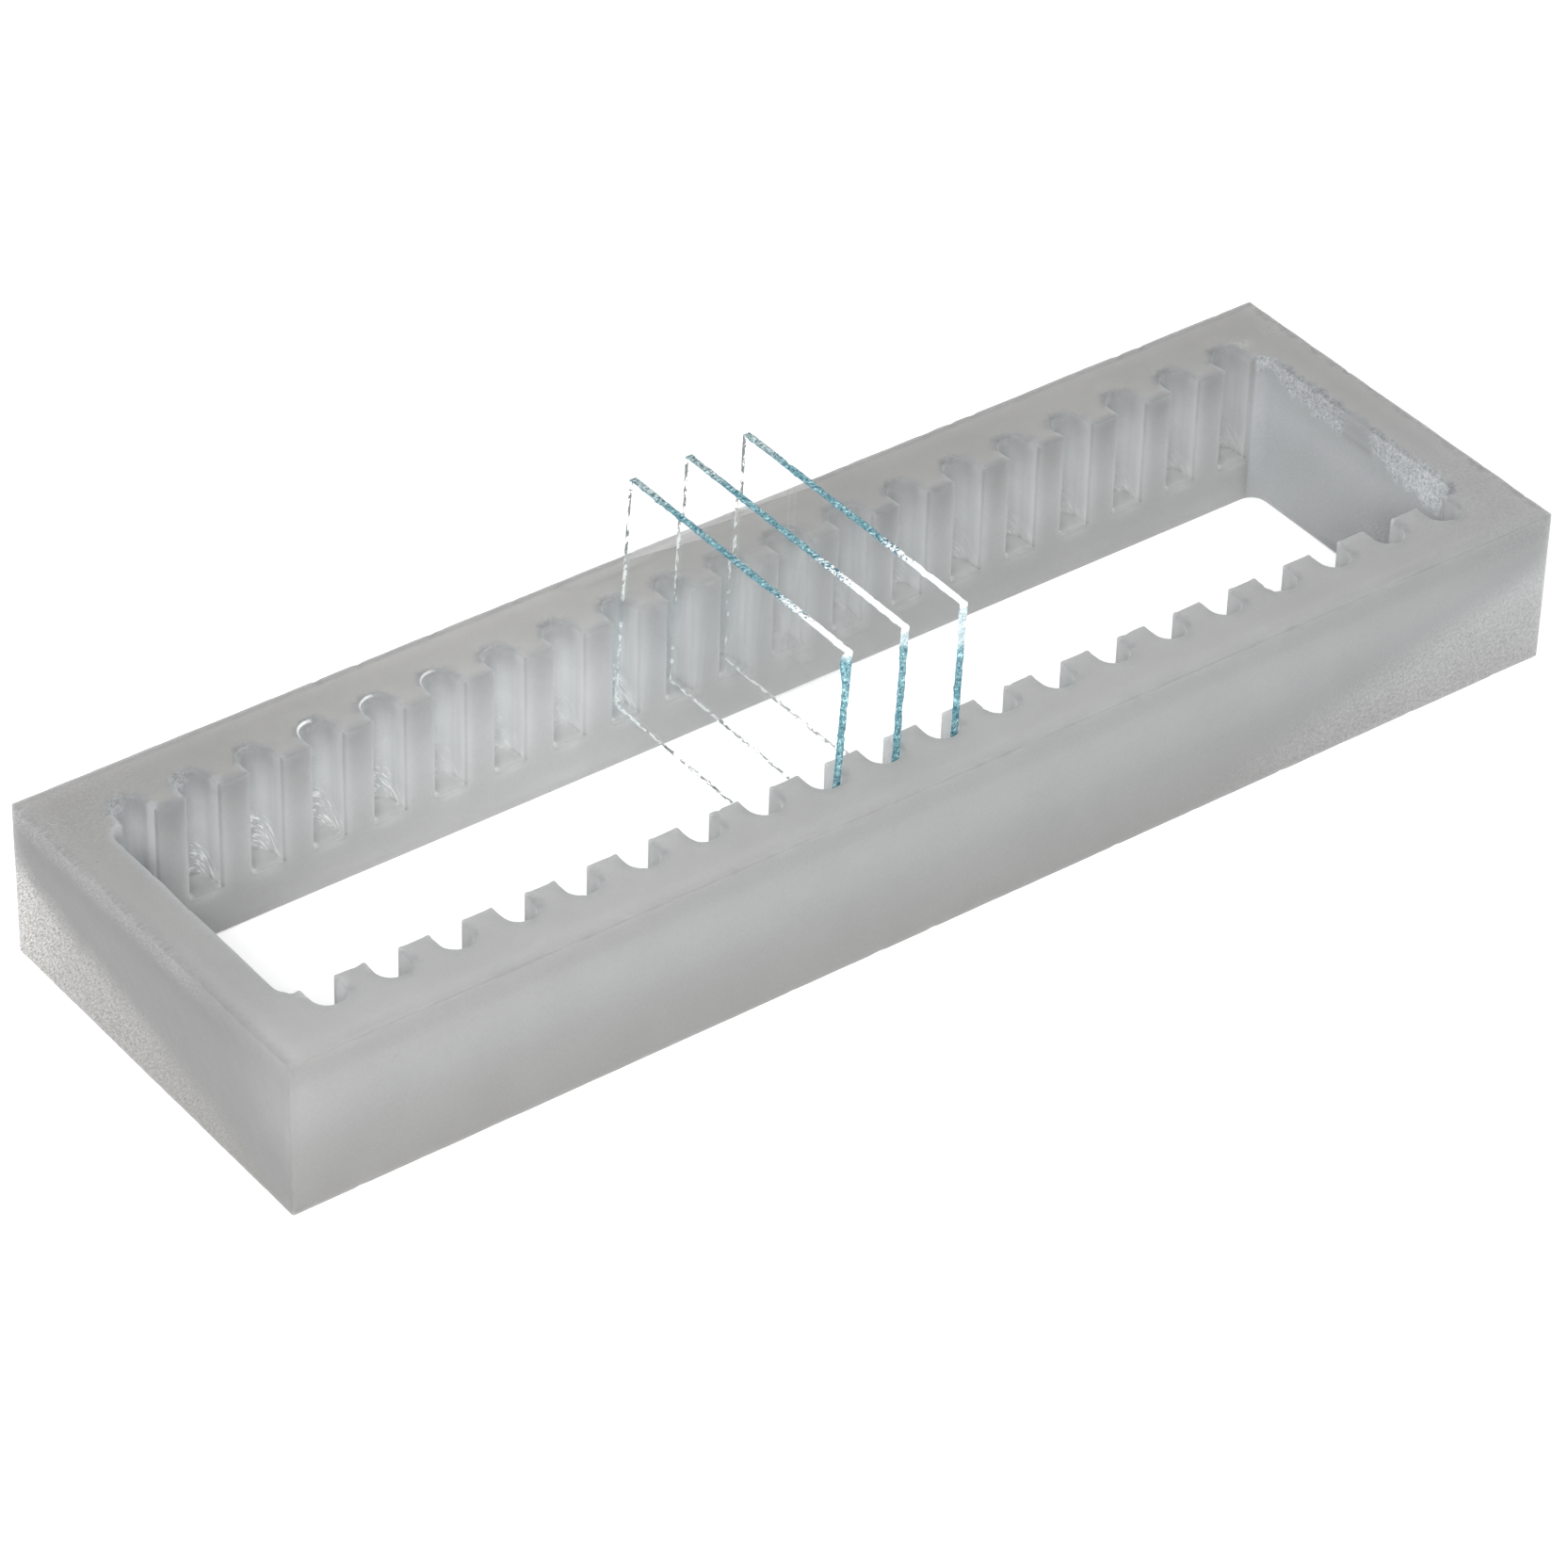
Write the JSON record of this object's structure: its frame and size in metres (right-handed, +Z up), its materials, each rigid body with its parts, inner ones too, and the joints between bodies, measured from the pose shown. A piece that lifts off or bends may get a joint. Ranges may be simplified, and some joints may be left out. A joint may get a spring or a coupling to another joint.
{
  "type": "slotted glass plate rack",
  "caption": "Open-bottom slotted rack milled from one block of translucent plastic, holding small glass plates on edge across its window.",
  "frame": {"origin": "on the underside, below the middle of the block", "axes": "+X along the block, +Y across it, +Z up"},
  "size_m": [0.172, 0.054, 0.0363],
  "materials": {
    "rack_plastic": "natural polypropylene, translucent and frosted, milled inside, sawn on the ends",
    "plate_glass": "clear 1 mm sheet glass with scored and snapped edges"
  },
  "bodies": {
    "rack": {"rack_block": "rack_plastic"},
    "left_plate": {"glass_plate_left": "plate_glass"},
    "middle_plate": {"glass_plate_middle": "plate_glass"},
    "right_plate": {"glass_plate_right": "plate_glass"}
  },
  "joints": [
    {"name": "left_plate_lift", "type": "slide", "parent": "rack", "child": "left_plate", "axis": [0.0645, 0, 0.9979], "range_m": [0, 0.02]},
    {"name": "middle_plate_lift", "type": "slide", "parent": "rack", "child": "middle_plate", "axis": [0.0401, 0, 0.9992], "range_m": [0, 0.02]},
    {"name": "right_plate_lift", "type": "slide", "parent": "rack", "child": "right_plate", "axis": [0.0314, 0, 0.9995], "range_m": [0, 0.02]}
  ]
}
